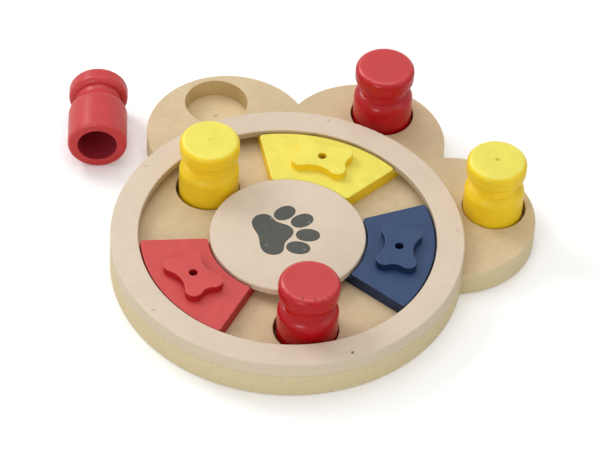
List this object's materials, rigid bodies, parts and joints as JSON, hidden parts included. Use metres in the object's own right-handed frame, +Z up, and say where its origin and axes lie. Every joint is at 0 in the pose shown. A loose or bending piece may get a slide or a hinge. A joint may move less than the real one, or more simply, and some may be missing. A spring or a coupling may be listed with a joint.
{
  "type": "dog puzzle feeder toy",
  "caption": "Paw-shaped wooden treat puzzle for a dog: hollow lift-off pegs stand in wells, and covers with bone knobs slide round a track over more wells.",
  "frame": {"origin": "on the axis of the round track, at the board's flat underside", "axes": "+Z up, +Y from the middle of the track to the middle toe, +X to the right"},
  "size_m": [0.3468, 0.2952, 0.0636],
  "materials": {
    "board_fibre": "sanded fibreboard, clear matt lacquer",
    "rim_fibre": "fine pale fibreboard, clear matt lacquer",
    "brad_steel": "dull, set flush",
    "yellow_paint": "satin water-based paint on wood",
    "blue_paint": "satin water-based paint on wood",
    "red_paint": "satin water-based paint on wood"
  },
  "bodies": {
    "board": {"base_board": "board_fibre", "track_ring": "rim_fibre", "centre_disc": "rim_fibre", "ring_pins": "brad_steel", "disc_pins": "brad_steel"},
    "yellow_slide": {"yellow_slider": "yellow_paint", "yellow_bone_knob": "yellow_paint"},
    "blue_slide": {"blue_slider": "blue_paint", "blue_bone_knob": "blue_paint"},
    "red_slide": {"red_slider": "red_paint", "red_bone_knob": "red_paint"},
    "yellow_track_peg": {"track_peg_yellow": "yellow_paint"},
    "red_track_peg": {"track_peg_red": "red_paint"},
    "red_toe_peg": {"toe_peg_red": "red_paint"},
    "yellow_toe_peg": {"toe_peg_yellow": "yellow_paint"},
    "loose_peg": {"loose_peg_red": "red_paint"}
  },
  "joints": [
    {"name": "yellow_slide_turn", "type": "hinge", "parent": "board", "child": "yellow_slide", "pos_m": [0, 0, 0.0186], "axis": [0, 0, 1], "range_deg": [-22, 17]},
    {"name": "blue_slide_turn", "type": "hinge", "parent": "board", "child": "blue_slide", "pos_m": [0, 0, 0.0186], "axis": [0, 0, 1], "range_deg": [-24.8, 22]},
    {"name": "red_slide_turn", "type": "hinge", "parent": "board", "child": "red_slide", "pos_m": [0, 0, 0.0186], "axis": [0, 0, 1], "range_deg": [-33.8, 20.6]},
    {"name": "yellow_track_peg_lift", "type": "slide", "parent": "board", "child": "yellow_track_peg", "axis": [0, 0, 1], "range_m": [0, 0.075]},
    {"name": "red_track_peg_lift", "type": "slide", "parent": "board", "child": "red_track_peg", "axis": [0, 0, 1], "range_m": [0, 0.075]},
    {"name": "red_toe_peg_lift", "type": "slide", "parent": "board", "child": "red_toe_peg", "axis": [0, 0, 1], "range_m": [0, 0.075]},
    {"name": "yellow_toe_peg_lift", "type": "slide", "parent": "board", "child": "yellow_toe_peg", "axis": [0, 0, 1], "range_m": [0, 0.075]},
    {"name": "loose_peg_lift", "type": "slide", "parent": "board", "child": "loose_peg", "axis": [0, 0, 1], "range_m": [0, 0.075]}
  ]
}
